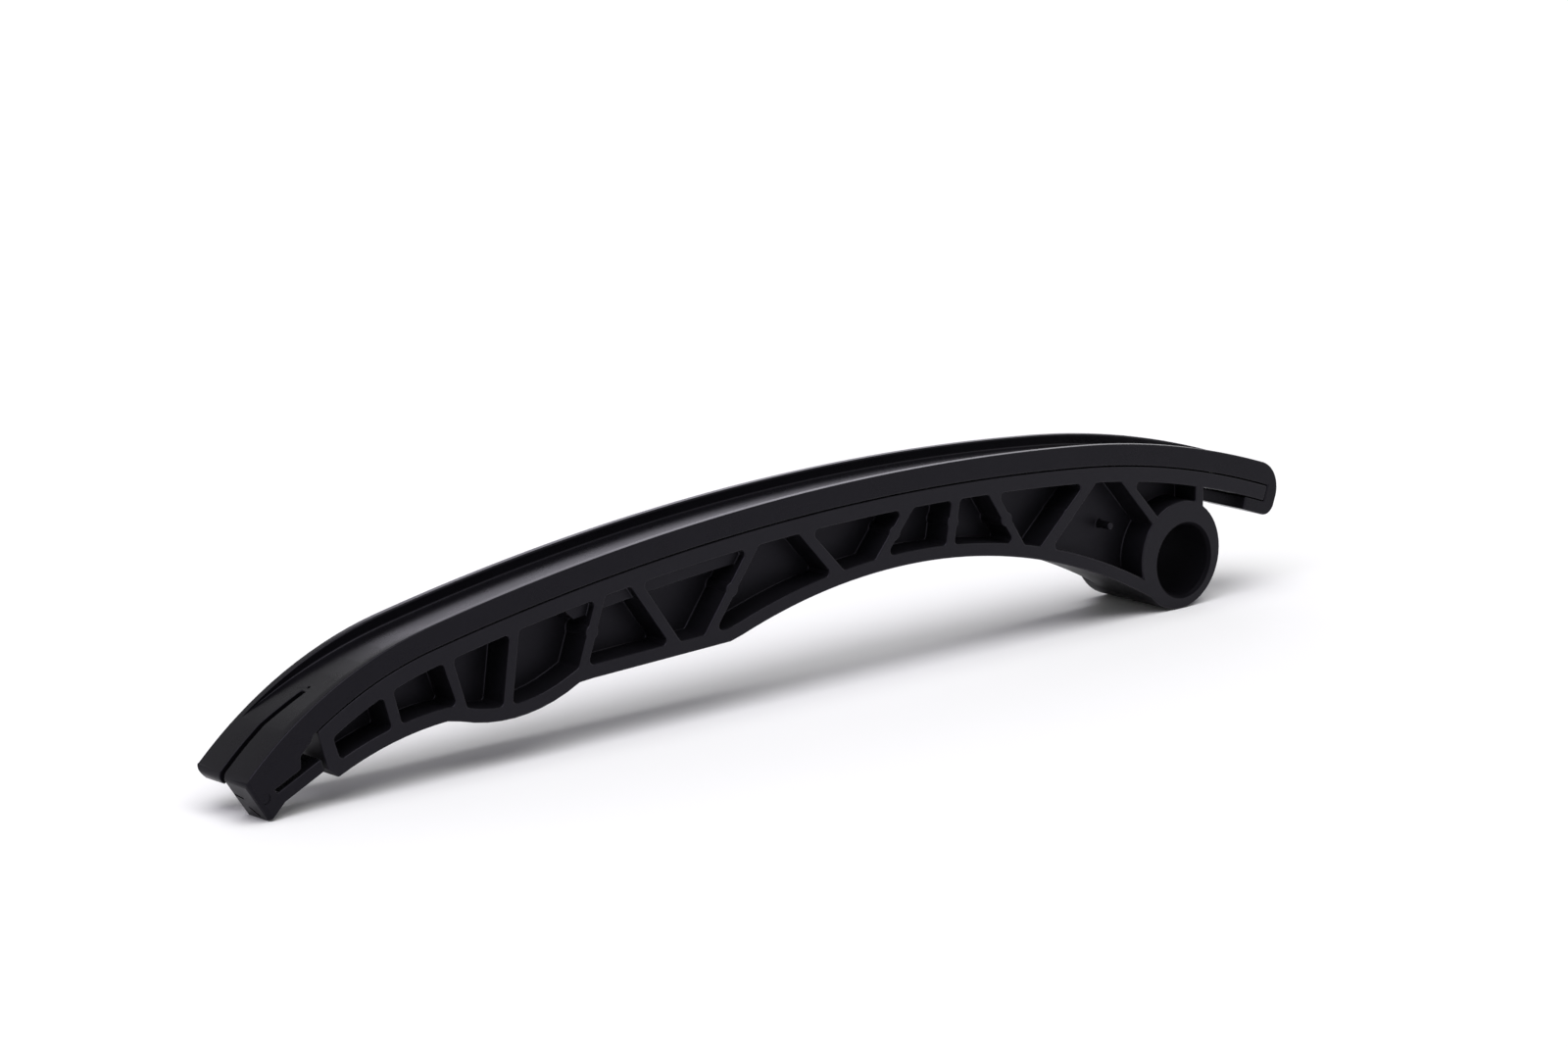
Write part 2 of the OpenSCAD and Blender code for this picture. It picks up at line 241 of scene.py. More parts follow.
@dataclass(frozen=True)
class MouldedPlastic:
    """A moulded plastic: its colours, its gloss and the texture that the mould leaves.

    Attributes:
        name: The material's name.
        colour: The body colour.
        bloom: The paler colour of the mottling.
        edge: The paler colour of the rounded edges: partly rubbed wear, partly a painted highlight along
            them.
        roughness: The roughness of the plain surface.
        mottle: How far the roughness wanders over a few millimetres.
        polish: How much smoother a worn, rounded edge is.
        specular: The specular level.
        sheen: The tint of the gloss.
        grain: Cells per metre of the fine grain.
        grain_depth: The height of the grain.
        drag: Strength of the long streaks that the flowing plastic leaves.
        bore_r: Radius of the pivot bore.
        bore_fade: Width over which the gloss comes back round the bore.
        bore_matt: How far the reamed bore is without gloss.
        cloud_scale: Cells per metre of the mottling.
        speck_scale: Cells per metre of the specks.
        flow_scale: Cells per metre of the streaks, along the rail, across it and up.
    """

    name: str
    colour: Colour
    bloom: Colour
    edge: Colour
    roughness: float
    mottle: float
    polish: float
    specular: float
    sheen: Colour
    grain: float
    grain_depth: float
    drag: float
    bore_r: float = mm(6.45)
    bore_fade: float = mm(0.15)
    bore_matt: float = 0.85
    cloud_scale: float = 160.0
    speck_scale: float = 1500.0
    flow_scale: Point = (30.0, 260.0, 420.0)

    def material(self) -> bpy.types.Material:
        """Build the material.

        Returns:
            The material.
        """
        material = bpy.data.materials.new(self.name)
        material.use_nodes = True
        web = NodeWeb(material.node_tree)
        place = web.node("ShaderNodeTexCoord", output="Object")
        cloud = web.noise(place, self.cloud_scale, 3.0, 0.6)
        speck = web.noise(place, self.speck_scale, 2.0, 0.6)
        along = web.node("ShaderNodeMapping", {"vector_type": "POINT"},
                         {"Vector": place, "Scale": self.flow_scale})
        streak = web.noise(along, 1.0, 3.0, 0.55)
        wear_and_shine_mask = web.node("ShaderNodeAttribute", {"attribute_name": WEAR_AND_SHINE}, output="Fac")
        tone = web.node("ShaderNodeValToRGB", {"stops": [(0.35, 0.0), (0.75, 1.0)]},
                        {"Fac": 0.6 * cloud + 0.4 * speck})
        body = web.blend(tone, self.colour, self.bloom)
        # Rounded edges get the paler edge colour: partly rubbed wear, partly a painted highlight in place
        # of the thin bright lines along the edges.
        wear_and_highlight_colour = web.blend(wear_and_shine_mask * (0.35 + 0.65 * speck), body, self.edge)
        across = web.node("ShaderNodeVectorMath", {"operation": "MULTIPLY"},
                          {0: place, 1: (1.0, 0.0, 1.0)})
        reach = web.node("ShaderNodeVectorMath", {"operation": "LENGTH"}, {0: across}, output="Value")
        bore = web.node("ShaderNodeMapRange", None,
                        {"Value": reach, "From Min": self.bore_r, "From Max": self.bore_r + self.bore_fade,
                         "To Min": 1.0, "To Max": 0.0})
        rough = (self.roughness + self.mottle * (cloud - 0.5) + self.drag * (streak - 0.5)
                 - self.polish * wear_and_shine_mask)
        fine = web.noise(place, self.grain, 2.0, 0.6)
        bump = web.node("ShaderNodeBump", None,
                        {"Strength": 1.0, "Distance": self.grain_depth, "Height": fine + 0.5 * speck})
        shader = web.node("ShaderNodeBsdfPrincipled", None,
                          {"Base Color": wear_and_highlight_colour, "Roughness": rough, "Normal": bump,
                           "Specular IOR Level": self.specular, "Specular Tint": web.opaque(self.sheen)})
        reamed = web.node("ShaderNodeBsdfDiffuse", None, {"Color": web.opaque(self.colour)})
        both = web.node("ShaderNodeMixShader", None, {0: self.bore_matt * bore, 1: shader, 2: reamed})
        web.node("ShaderNodeOutputMaterial", None, {"Surface": both})
        return material


class Edge(NamedTuple):
    """One edge of a mesh, as a maker would describe it.

    Attributes:
        middle: Its middle, in millimetres.
        along: Its direction.
        turn: The angle between its two faces, in degrees.
        convex: Whether it sticks out.
    """

    middle: Vector
    along: Vector
    turn: float
    convex: bool

    def lies_at(self, y: float, slack: float = 0.02) -> bool:
        """Return whether the edge's middle is this far from the middle of the rail, on either side."""
        return abs(abs(self.middle.y) - y) < slack


class Bench:
    """Edit-mode work on one mesh object at a time.

    Attributes:
        SEAM: Corners closer than this are one, in millimetres.
        DISC_SIDES: Sides of a disc.
        DISC_SOFT: Rounding of a disc's rims, as a share of its radius or height.
        DISC_TURN: Edges of a disc that turn less than this aren't rims, in degrees.
        CORNER_SIDES: Sides of the cylinder that shapes a rounded corner.
        CORNER_SHARE: How far in that cylinder lies, just short of its radius, so that it cuts both faces.
        STRIP_SLOT: The material slot that marks the strips of a rounding.
    """

    SEAM = 0.02
    DISC_SIDES = 28
    DISC_SOFT = 0.2
    DISC_TURN = 60.0
    CORNER_SIDES = 32
    CORNER_SHARE = 0.98
    STRIP_SLOT = 1

    @staticmethod
    def take(piece: bpy.types.Object) -> None:
        """Make a piece the only selected object and the active one.

        Args:
            piece: The object.
        """
        bpy.ops.object.select_all(action="DESELECT")
        piece.select_set(True)
        bpy.context.view_layer.objects.active = piece

    @staticmethod
    def edit(piece: bpy.types.Object, *steps: Callable[[], Any]) -> None:
        """Run steps in edit mode on all of a piece.

        Args:
            piece: The object.
            steps: Calls that run one after the other, with the whole mesh selected before each.
        """
        Bench.take(piece)
        bpy.ops.object.mode_set(mode="EDIT")
        for step in steps:
            bpy.ops.mesh.select_all(action="SELECT")
            step()
        bpy.ops.object.mode_set(mode="OBJECT")

    @staticmethod
    def select_faces(piece: bpy.types.Object,
                     wanted: Callable[[bpy.types.MeshPolygon], bool]) -> None:
        """Select some faces of a piece and nothing else.

        Args:
            piece: The object.
            wanted: Tells whether a face is selected.
        """
        Bench.edit(piece)
        bpy.ops.object.mode_set(mode="EDIT")
        bpy.ops.mesh.select_mode(type="FACE")
        bpy.ops.mesh.select_all(action="DESELECT")
        bpy.ops.object.mode_set(mode="OBJECT")
        for face in piece.data.polygons:
            face.select = wanted(face)

    @staticmethod
    def apply(piece: bpy.types.Object, kind: str, **settings: Any) -> None:
        """Add a modifier and apply it.

        Args:
            piece: The object.
            kind: The modifier's type.
            settings: The modifier's own properties.
        """
        Bench.take(piece)
        modifier = piece.modifiers.new(kind.lower(), kind)
        for name, value in settings.items():
            setattr(modifier, name, value)
        bpy.ops.object.modifier_apply(modifier=modifier.name)

    @staticmethod
    def combine(piece: bpy.types.Object, tool: bpy.types.Object,
                operation: str = "DIFFERENCE") -> None:
        """Cut a tool's shape out of a piece, or join it on, and put the tool away.

        Args:
            piece: The object that is worked on; it keeps its shape if the result isn't closed.
            tool: The closed shape that is taken out of it or joined to it.
            operation: The way of the two shapes' meeting.
        """
        before = piece.data.copy()
        Bench.apply(piece, "BOOLEAN", operation=operation, object=tool, solver="EXACT")
        bpy.data.objects.remove(tool)
        if not Bench.is_closed(piece):
            LOG.warning("%s: a step of the work was left out", piece.name)
            piece.data = before

    @staticmethod
    def is_closed(piece: bpy.types.Object) -> bool:
        """Look for open edges.

        Args:
            piece: The object.

        Returns:
            Whether the piece has faces and every edge of it lies between two of them.
        """
        shape = bmesh.new()
        shape.from_mesh(piece.data)
        closed = len(shape.faces) > 0 and all(edge.is_manifold for edge in shape.edges)
        shape.free()
        return closed

    @staticmethod
    def clean(piece: bpy.types.Object, angle: float) -> None:
        """Merge corners that lie together and join the triangles of each flat face.

        Args:
            piece: The object.
            angle: Faces that meet at less than this are joined, in degrees.
        """
        bpy.context.scene.cursor.location = SORT_FROM
        Bench.edit(piece, Bench.sort, Bench.close_seams, Bench.sort,
                   lambda: bpy.ops.mesh.dissolve_limited(angle_limit=math.radians(angle)), Bench.sort)

    @staticmethod
    def close_seams() -> None:
        """Merge the selected corners that lie together."""
        bpy.ops.mesh.remove_doubles(threshold=mm(Bench.SEAM))

    @staticmethod
    def sort() -> None:
        """Put the parts of the mesh in an order that is the same every time."""
        bpy.ops.mesh.sort_elements(type="CURSOR_DISTANCE", elements={"VERT", "EDGE", "FACE"})

    @staticmethod
    def disc(centre: Vector, axis: Vector, radius: float, height: float) -> bpy.types.Object:
        """Make a round cutting tool with softened rims.

        Args:
            centre: Its centre in millimetres.
            axis: The direction of its axis.
            radius: Its radius in millimetres.
            height: Its height in millimetres.

        Returns:
            The tool.
        """
        bpy.ops.object.select_all(action="DESELECT")
        bpy.ops.mesh.primitive_cylinder_add(vertices=Bench.DISC_SIDES, radius=mm(radius), depth=mm(height),
                                            location=mm(centre),
                                            rotation=axis.to_track_quat("Z", "Y").to_euler())
        tool = bpy.context.object
        Bench.apply(tool, "BEVEL", width=mm(Bench.DISC_SOFT * min(radius, height)), segments=2,
                    limit_method="ANGLE", angle_limit=math.radians(Bench.DISC_TURN))
        return tool

    @staticmethod
    def bar(start: Vector, stop: Vector, into: Vector, width: float) -> bpy.types.Object:
        """Make a square cutting bar that lies half in a face.

        Args:
            start: Its first end in millimetres.
            stop: Its other end in millimetres.
            into: The direction into the face.
            width: Its width and height in millimetres.

        Returns:
            The tool.
        """
        along = (stop - start).normalized()
        turn = Matrix((along, into.cross(along), into)).transposed()
        bpy.ops.object.select_all(action="DESELECT")
        bpy.ops.mesh.primitive_cube_add(size=1.0, location=mm(start + stop) / 2, rotation=turn.to_euler(),
                                        scale=(mm((stop - start).length), mm(width), mm(width)))
        return bpy.context.object

    @staticmethod
    def round_corner(piece: bpy.types.Object, corner: Vector, along: Vector, first: Vector,
                     second: Vector, radius: float, length: float) -> None:
        """Round one upright corner of a piece.

        Args:
            piece: The object.
            corner: A point on the corner, in millimetres.
            along: The direction of the corner.
            first: The direction into the piece, away from one of the corner's faces.
            second: The direction into the piece, away from the other face.
            radius: The radius of the rounding in millimetres.
            length: The length over which the corner is rounded, in millimetres.
        """
        turn = Matrix((first, along.cross(first), along)).transposed().to_euler()
        bpy.ops.object.select_all(action="DESELECT")
        bpy.ops.mesh.primitive_cube_add(size=mm(2.0 * radius), location=mm(corner), rotation=turn,
                                        scale=(1.0, 1.0, length / (2.0 * radius)))
        block = bpy.context.object
        axis = corner + Bench.CORNER_SHARE * radius * (first + second)
        bpy.ops.object.select_all(action="DESELECT")
        bpy.ops.mesh.primitive_cylinder_add(vertices=Bench.CORNER_SIDES, radius=mm(radius),
                                            depth=mm(2.0 * length), location=mm(axis), rotation=turn)
        Bench.combine(block, bpy.context.object)
        Bench.combine(piece, block)

    @staticmethod
    def copy_node(node: str, name: str) -> bpy.types.Object:
        """Copy a node's mesh into a new object and close its seams.

        Args:
            node: The node's name.
            name: The new object's name.

        Returns:
            The new object.
        """
        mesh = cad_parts[node].data.copy()
        mesh.name = name
        mesh.materials.clear()
        piece = bpy.data.objects.new(name, mesh)
        bpy.context.scene.collection.objects.link(piece)
        Bench.edit(piece, Bench.close_seams)
        return piece

    @staticmethod
    def join_flats(piece: bpy.types.Object, angle: float) -> None:
        """Join the triangles of each flat face.

        Args:
            piece: The object.
            angle: Faces that meet at less than this are joined, in degrees.
        """
        Bench.edit(piece, lambda: bpy.ops.mesh.dissolve_limited(angle_limit=math.radians(angle)))

    @staticmethod
    def slice(piece: bpy.types.Object, first: float, last: float, count: int) -> None:
        """Slice a piece across the rail at even steps, so that its long faces are short ones.

        Args:
            piece: The object.
            first: Place of the first slice in millimetres.
            last: Place of the last slice in millimetres.
            count: Number of slices.
        """
        for number in range(count):
            place = mm(first + (last - first) * number / (count - 1))
            Bench.edit(piece, lambda: bpy.ops.mesh.bisect(plane_co=(place, 0.0, 0.0),
                                                          plane_no=(1.0, 0.0, 0.0)))

    @staticmethod
    def round_edges(piece: bpy.types.Object, radius_of: Callable[[Edge], float],
                    segments: int = 3) -> None:
        """Round the edges and note on the mesh where the roundings are.

        Args:
            piece: The object.
            radius_of: Gives the rounding of an edge in millimetres, 0 for none.
            segments: The number of strips of a rounding.
        """
        mesh = piece.data
        shape = bmesh.new()
        shape.from_mesh(mesh)
        radii = [radius_of(Bench._described(edge)) for edge in shape.edges]
        shape.free()
        widest = max(radii)
        weights = mesh.attributes.new("bevel_weight_edge", "FLOAT", "EDGE")
        weights.data.foreach_set("value", [radius / widest for radius in radii])
        mesh.materials.append(None)
        mesh.materials.append(None)
        Bench.apply(piece, "BEVEL", width=mm(widest), segments=segments, limit_method="WEIGHT",
                    use_clamp_overlap=False, loop_slide=False, material=Bench.STRIP_SLOT)
        mesh = piece.data
        faces_round: dict[int, list[bool]] = {}
        for face in mesh.polygons:
            for corner in face.vertices:
                faces_round.setdefault(corner, []).append(face.material_index == Bench.STRIP_SLOT)
            face.material_index = 0
        # Corners that lie wholly on a rounding are marked 1; the material paints them paler, partly as wear
        # and partly as a painted highlight.
        wear_and_shine_mask = mesh.attributes.new(WEAR_AND_SHINE, "FLOAT", "POINT")
        for corner, rounded in faces_round.items():
            wear_and_shine_mask.data[corner].value = float(all(rounded))
        mesh.materials.clear()

    @staticmethod
    def _described(edge: bmesh.types.BMEdge) -> Edge:
        """Describe an edge.

        Args:
            edge: An edge between two faces.

        Returns:
            Its description.
        """
        first, second = (corner.co * 1000.0 for corner in edge.verts)
        return Edge((first + second) / 2, (second - first).normalized(), Bench._turn(edge), edge.is_convex)

    @staticmethod
    def _turn(edge: bmesh.types.BMEdge) -> float:
        """Return the angle between an edge's two faces, in degrees."""
        return math.degrees(edge.calc_face_angle(0.0))

    @staticmethod
    def carry_creases(piece: bpy.types.Object, longest: float = 0.8, turn: float = 12.0) -> None:
        """Carry each crease past the end of a rounding, so that the faces beside it share no normal.

        Args:
            piece: The object.
            longest: The longest edge a crease is carried along, in millimetres.
            turn: The smallest turn of such an edge, in degrees.
        """
        shape = bmesh.new()
        shape.from_mesh(piece.data)
        carried: set[int] = set()
        for point in shape.verts:
            smooth = [edge for edge in point.link_edges if edge.smooth]
            if len(point.link_edges) - len(smooth) != 1:
                continue
            onward = max(smooth, key=Bench._turn)
            if onward.calc_length() < mm(longest) and Bench._turn(onward) > turn:
                carried.add(onward.index)
        shape.free()
        for number in carried:
            piece.data.edges[number].use_edge_sharp = True

    @staticmethod
    def shade(piece: bpy.types.Object, angle: float = 40.0) -> None:
        """Shade a piece smooth and keep its flat faces flat.

        Args:
            piece: The object.
            angle: Edges sharper than this stay sharp, in degrees.
        """
        Bench.take(piece)
        bpy.ops.object.shade_smooth_by_angle(angle=math.radians(angle))
        Bench.carry_creases(piece)
        Bench.apply(piece, "WEIGHTED_NORMAL", mode="FACE_AREA", weight=50, keep_sharp=True)


@dataclass(frozen=True)
class SlidingCurve:
    """The rail's side view: three arcs, with flanges that run out towards both ends. Sizes in millimetres.

    Attributes:
        crown: The highest point.
        crown_r: Radius of the crown arc.
        tail_start: Length of the crown arc towards the tail.
        tail_r: Radius of the tail arc.
        head_start: Length of the crown arc towards the head.
        head_r: Radius of the head arc.
        flange_h: Height of the flanges above the sliding face.
        flange_end: Arc length from the crown to the flanges' end at the head.
        tail_runout: Length over which the flanges run out at the tail.
        head_runout: Length over which the flanges run out at the head.
    """

    crown: tuple[float, float] = (-65.0, 24.8)
    crown_r: float = 470.0
    tail_start: float = 93.6
    tail_r: float = 67.0
    head_start: float = 41.5
    head_r: float = 182.0
    flange_h: float = 1.8
    flange_end: float = 85.4
    tail_runout: float = 28.0
    head_runout: float = 24.0

    def along(self, x: float, z: float) -> float:
        """Measure the arc length from the crown to a point.

        Args:
            x: The point's place along the rail.
            z: Its height.

        Returns:
            The arc length, negative towards the tail.
        """
        drop = self.crown[1] - self.crown_r
        turn = math.atan2(x - self.crown[0], z - drop)
        for start, radius, sign in ((self.tail_start, self.tail_r, -1.0),
                                    (self.head_start, self.head_r, 1.0)):
            bend = start / self.crown_r
            if sign * turn > bend:
                reach = self.crown_r - radius
                centre_x = self.crown[0] + sign * reach * math.sin(bend)
                centre_z = drop + reach * math.cos(bend)
                return sign * start + radius * (math.atan2(x - centre_x, z - centre_z) - sign * bend)
        return turn * self.crown_r

    def floor_point(self, place: float) -> tuple[Vector, Vector]:
        """Find a point on the middle of the sliding face, on the tail arc.

        Args:
            place: Its arc length from the crown.

        Returns:
            The point and the direction out of the face.
        """
        bend = self.tail_start / self.crown_r
        reach = self.crown_r - self.tail_r
        turn = -bend + (place + self.tail_start) / self.tail_r
        share = -(place + self.tail_start) / self.tail_runout
        radius = self.tail_r - self.flange_h * (1.0 - share * share)
        out = Vector((math.sin(turn), 0.0, math.cos(turn)))
        centre = Vector((self.crown[0] - reach * math.sin(bend), 0.0,
                         self.crown[1] - self.crown_r + reach * math.cos(bend)))
        return centre + radius * out, out

    def flange_height(self, x: float, z: float) -> float:
        """Measure the flanges above the sliding face.

        Args:
            x: A place along the rail.
            z: The rail's height there.

        Returns:
            The height of the flanges at that place.
        """
        place = self.along(x, z)
        share = max(0.0, -(place + self.tail_start) / self.tail_runout,
                    1.0 - (self.flange_end - place) / self.head_runout)
        return self.flange_h * max(0.0, 1.0 - share * share)


@dataclass
class Carrier:
    """The ribbed carrier with its pivot boss. Sizes in millimetres.

    Attributes:
        finish: Its plastic.
        rim: Rounding of the edges of its faces and ribs.
        web_root: Rounding where the ribs and chords grow out of the web.
        small: Rounding of the pads, the pin and the bore's chamfers.
        blunt: Edges that turn less than this get the small rounding, in degrees.
        sharp: Edges that turn less than this stay as they are, in degrees.
        web: Distance of the web's faces from the middle of the rail.
        flat: Faces that meet at less than this are one flat, in degrees.
    """

    finish: MouldedPlastic
    rim: float = 0.25
    web_root: float = 0.25
    small: float = 0.12
    blunt: float = 50.0
    sharp: float = 32.0
    web: float = 1.4
    flat: float = 0.5

    def _radius(self, edge: Edge) -> float:
        """Choose the rounding of an edge.

        Args:
            edge: The edge.

        Returns:
            Its radius in millimetres.
        """
        if edge.turn < self.sharp:
            return 0.0
        if edge.lies_at(self.web) and not edge.convex:
            return self.web_root
        if edge.turn < self.blunt:
            return self.small
        return self.rim

    def build(self) -> bpy.types.Object:
        """Model the rounded carrier.

        Returns:
            The piece.
        """
        piece = Bench.copy_node("carrier", "carrier_moulding")
        Bench.join_flats(piece, self.flat)
        Bench.round_edges(piece, self._radius)
        Bench.shade(piece)
        return piece

    def dress(self, piece: bpy.types.Object) -> None:
        """Give the piece its finish and its place in the frame.

        Args:
            piece: The rounded carrier.
        """
        piece.data.materials.append(self.finish.material())
        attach(piece, BODY)
        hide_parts("carrier")


@dataclass(frozen=True)
class TailFrame:
    """The tail's own directions in the side view: inwards along its face, and down. Sizes in millimetres.

    Attributes:
        end: The end of the tail on the flange line.
        turn: How far the tail is turned from the level, in degrees.
    """

    end: tuple[float, float] = (-191.335, -2.03)
    turn: float = 44.08

    def point(self, inwards: float, y: float, down: float) -> Vector:
        """Return the point at a distance inwards, across and down."""
        along, below = self.axes()
        return Vector((self.end[0], y, self.end[1])) + inwards * along + down * below

    def axes(self) -> tuple[Vector, Vector]:
        """Find the tail's directions.

        Returns:
            The directions inwards and down.
        """
        angle = math.radians(self.turn)
        return (Vector((math.cos(angle), 0.0, math.sin(angle))),
                Vector((math.sin(angle), 0.0, -math.cos(angle))))


@dataclass
class Lining:
    """The slide lining with its two guide flanges, moulded in one. Sizes in millimetres.

    Attributes:
        finish: Its plastic.
        curve: Its side view.
        tail: The directions of its tail.
        rim: Rounding of its edges.
        fine: Rounding of the edges of the slot and the slit.
        thin: Flanges lower than this keep their inner edges as they are.
        rim_share: Rounding of the flanges' inner edges, as a share of their height above that.
        flange_tip: Place of the flanges' ends at the head.
        tip_reach: Edges closer to that place than this stay as they are.
        flange_foot: The flanges' ends at the head lie above this.
        corner_x: The tail's rounded corners lie beyond this place.
        sharp: Edges that turn less than this stay as they are, in degrees.
        half: Half its width.
        channel: Half the width between the flanges.
        slot: Half the width of the slot.
        slot_end: Place of the slot's inner end.
        slot_slack: Edges this much wider and further in still belong to the slot.
        floor_reach: How far round the slot's inner end the sliding face is made one.
        floor_turn: Its faces that meet at less than this are joined there, in degrees.
        back_corner: Rounding of the tail's back corner, seen from above.
        back_length: Length over which that corner is rounded.
        hook_corner: Rounding of the hook's front corner.
        hook_length: Length over which that corner is rounded.
        hook_lean: Outward lean of the hook's end face at the tip.
        hook_h: Depth of the hook below the flange line.
        hook_top: Depth at which the hook's end face begins.
        ejector: Place of the ejector mark on the hook, inwards and down.
        ejector_r: Radius of the ejector mark.
        ejector_depth: Depth of the ejector mark.
        ejector_margin: Width round the ejector mark that keeps its edges.
        dimple: Arc length from the crown to the dimple beyond the slot.
        dimple_r: Radius of the dimple.
        dimple_depth: Depth of the dimple.
        dimple_margin: Width round the dimple that keeps its edges.
        scores: Ends of the two scores on the hook's end face, each as y and share of the way down.
        score_w: Width of the scores, and twice their depth.
        flange_root: How deep the flanges' feet reach into the lining before the two are joined.
        flat: Faces that meet at less than this are one flat, in degrees.
        slices: First and last place at which the long faces are sliced.
        slice_count: Number of slices.
        marks: Centre and reach of every small mark, whose edges stay as they were cut.
    """

    finish: MouldedPlastic
    curve: SlidingCurve = SlidingCurve()
    tail: TailFrame = TailFrame()
    rim: float = 0.28
    fine: float = 0.14
    thin: float = 0.3
    rim_share: float = 0.22
    flange_tip: float = 19.29
    tip_reach: float = 0.1
    flange_foot: float = 13.0
    corner_x: float = -188.0
    sharp: float = 30.0
    half: float = 6.4
    channel: float = 5.1
    slot: float = 0.55
    slot_end: float = -176.0
    slot_slack: tuple[float, float] = (0.02, 2.0)
    floor_reach: float = 3.0
    floor_turn: float = 6.0
    back_corner: float = 1.5
    back_length: float = 12.0
    hook_corner: float = 1.0
    hook_length: float = 20.0
    hook_lean: float = 1.1
    hook_h: float = 7.593
    hook_top: float = 1.2
    ejector: tuple[float, float] = (0.8, 4.3)
    ejector_r: float = 0.85
    ejector_depth: float = 0.12
    ejector_margin: float = 0.1
    dimple: float = -112.35
    dimple_r: float = 0.32
    dimple_depth: float = 0.4
    dimple_margin: float = 0.25
    scores: tuple[tuple[float, float, float, float], ...] = (
        (-0.75, 0.35, -2.75, 0.41), (-2.6, 0.68, -4.1, 0.92))
    score_w: float = 0.4
    flange_root: float = 0.4
    flat: float = 0.2
    slices: tuple[float, float] = (-171.3, 16.7)
    slice_count: int = 48
    marks: list[tuple[Vector, float]] = field(default_factory=list)

    def _radius(self, edge: Edge) -> float:
        """Choose the rounding of an edge.

        Args:
            edge: The edge.

        Returns:
            Its radius in millimetres.
        """
        x, out, z = edge.middle.x, abs(edge.middle.y), edge.middle.z
        if edge.turn < self.sharp or any((edge.middle - spot).length < reach for spot, reach in self.marks):
            return 0.0
        if abs(x - self.flange_tip) < self.tip_reach and z > self.flange_foot:
            return 0.0
        if edge.lies_at(self.channel):
            height = self.curve.flange_height(x, z)
            return max(0.0, min(self.rim, self.rim_share * (height - self.thin)))
        runs_across = edge.along.y ** 2 > 0.02
        if x < self.corner_x and out > self.half - self.back_corner and runs_across:
            return 0.0
        wider, further = self.slot_slack
        if out < self.slot + wider and x < self.slot_end + further:
            return self.fine
        return self.rim

    def _rooted_flanges(self) -> bpy.types.Object:
        """Copy the flanges and give them feet that reach into the lining.

        Returns:
            The flanges, to be joined to the lining.
        """
        flanges = Bench.copy_node("guide_flanges", "flange_feet")
        Bench.select_faces(flanges, lambda face: face.normal.z < -0.5)
        bpy.ops.object.mode_set(mode="EDIT")
        bpy.ops.mesh.extrude_region_move(
            TRANSFORM_OT_translate={"value": (0.0, 0.0, mm(-self.flange_root))})
        bpy.ops.object.mode_set(mode="OBJECT")
        return flanges

    def _join_slot_floor(self, piece: bpy.types.Object) -> None:
        """Make the floor round the slot's inner end one face, so that its edges can be rounded.

        Args:
            piece: The lining.
        """
        Bench.select_faces(piece, lambda face: abs(face.center.x - mm(self.slot_end)) < mm(self.floor_reach)
                           and abs(face.normal.y) < 0.1 and face.normal.z > 0.5)
        bpy.ops.object.mode_set(mode="EDIT")
        bpy.ops.mesh.dissolve_limited(angle_limit=math.radians(self.floor_turn))
        bpy.ops.object.mode_set(mode="OBJECT")

    def _hook_face(self) -> tuple[Vector, Vector, Vector]:
        """Find the hook's end face.

        Returns:
            The top of the face, its direction down and the direction inwards.
        """
        top = self.tail.point(0.0, 0.0, self.hook_top)
        down = (self.tail.point(-self.hook_lean, 0.0, self.hook_h) - top).normalized()
        return top, down, down.cross(Vector((0.0, 1.0, 0.0)))

    def _round_corners(self, piece: bpy.types.Object) -> None:
        """Round the tail's back corner and the hook's front corner.

        Args:
            piece: The lining.
        """
        inwards, down = self.tail.axes()
        Bench.round_corner(piece, self.tail.point(0.0, self.half, 0.0), down, inwards,
                           Vector((0.0, -1.0, 0.0)), self.back_corner, self.back_length)
        top, down, inwards = self._hook_face()
        Bench.round_corner(piece, top + Vector((0.0, -self.half, 0.0)), down, inwards,
                           Vector((0.0, 1.0, 0.0)), self.hook_corner, self.hook_length)

    def _mark(self, piece: bpy.types.Object) -> None:
        """Press the ejector mark, the dimple and the scores into the surface.

        Args:
            piece: The lining.
        """
        across = Vector((0.0, 1.0, 0.0))
        spot = self.tail.point(self.ejector[0], -self.half, self.ejector[1])
        Bench.combine(piece, Bench.disc(spot, across, self.ejector_r, 2.0 * self.ejector_depth))
        self.marks.append((spot, self.ejector_r + self.ejector_margin))
        hole, normal = self.curve.floor_point(self.dimple)
        Bench.combine(piece, Bench.disc(hole, normal, self.dimple_r, 2.0 * self.dimple_depth))
        self.marks.append((hole, self.dimple_r + self.dimple_margin))
        top, down, inwards = self._hook_face()
        length = self.hook_h - self.hook_top
        for y_from, share_from, y_to, share_to in self.scores:
            start = top + down * (share_from * length) + across * y_from
            stop = top + down * (share_to * length) + across * y_to
            Bench.combine(piece, Bench.bar(start, stop, inwards, self.score_w))
            self.marks.append(((start + stop) / 2, (stop - start).length / 2 + self.score_w))

    def build(self) -> bpy.types.Object:
        """Model the rounded lining.

        Returns:
            The piece.
        """
        piece = Bench.copy_node("slide_lining", "lining_moulding")
        self._round_corners(piece)
        self._mark(piece)
        Bench.combine(piece, self._rooted_flanges(), "UNION")
        Bench.clean(piece, self.flat)
        self._join_slot_floor(piece)
        Bench.slice(piece, *self.slices, self.slice_count)
        Bench.round_edges(piece, self._radius)
        Bench.shade(piece)
        return piece

    def dress(self, piece: bpy.types.Object) -> None:
        """Give the piece its finish and its place in the frame.

        Args:
            piece: The rounded lining.
        """
        piece.data.materials.append(self.finish.material())
        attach(piece, BODY)
        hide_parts("slide_lining", "guide_flanges")


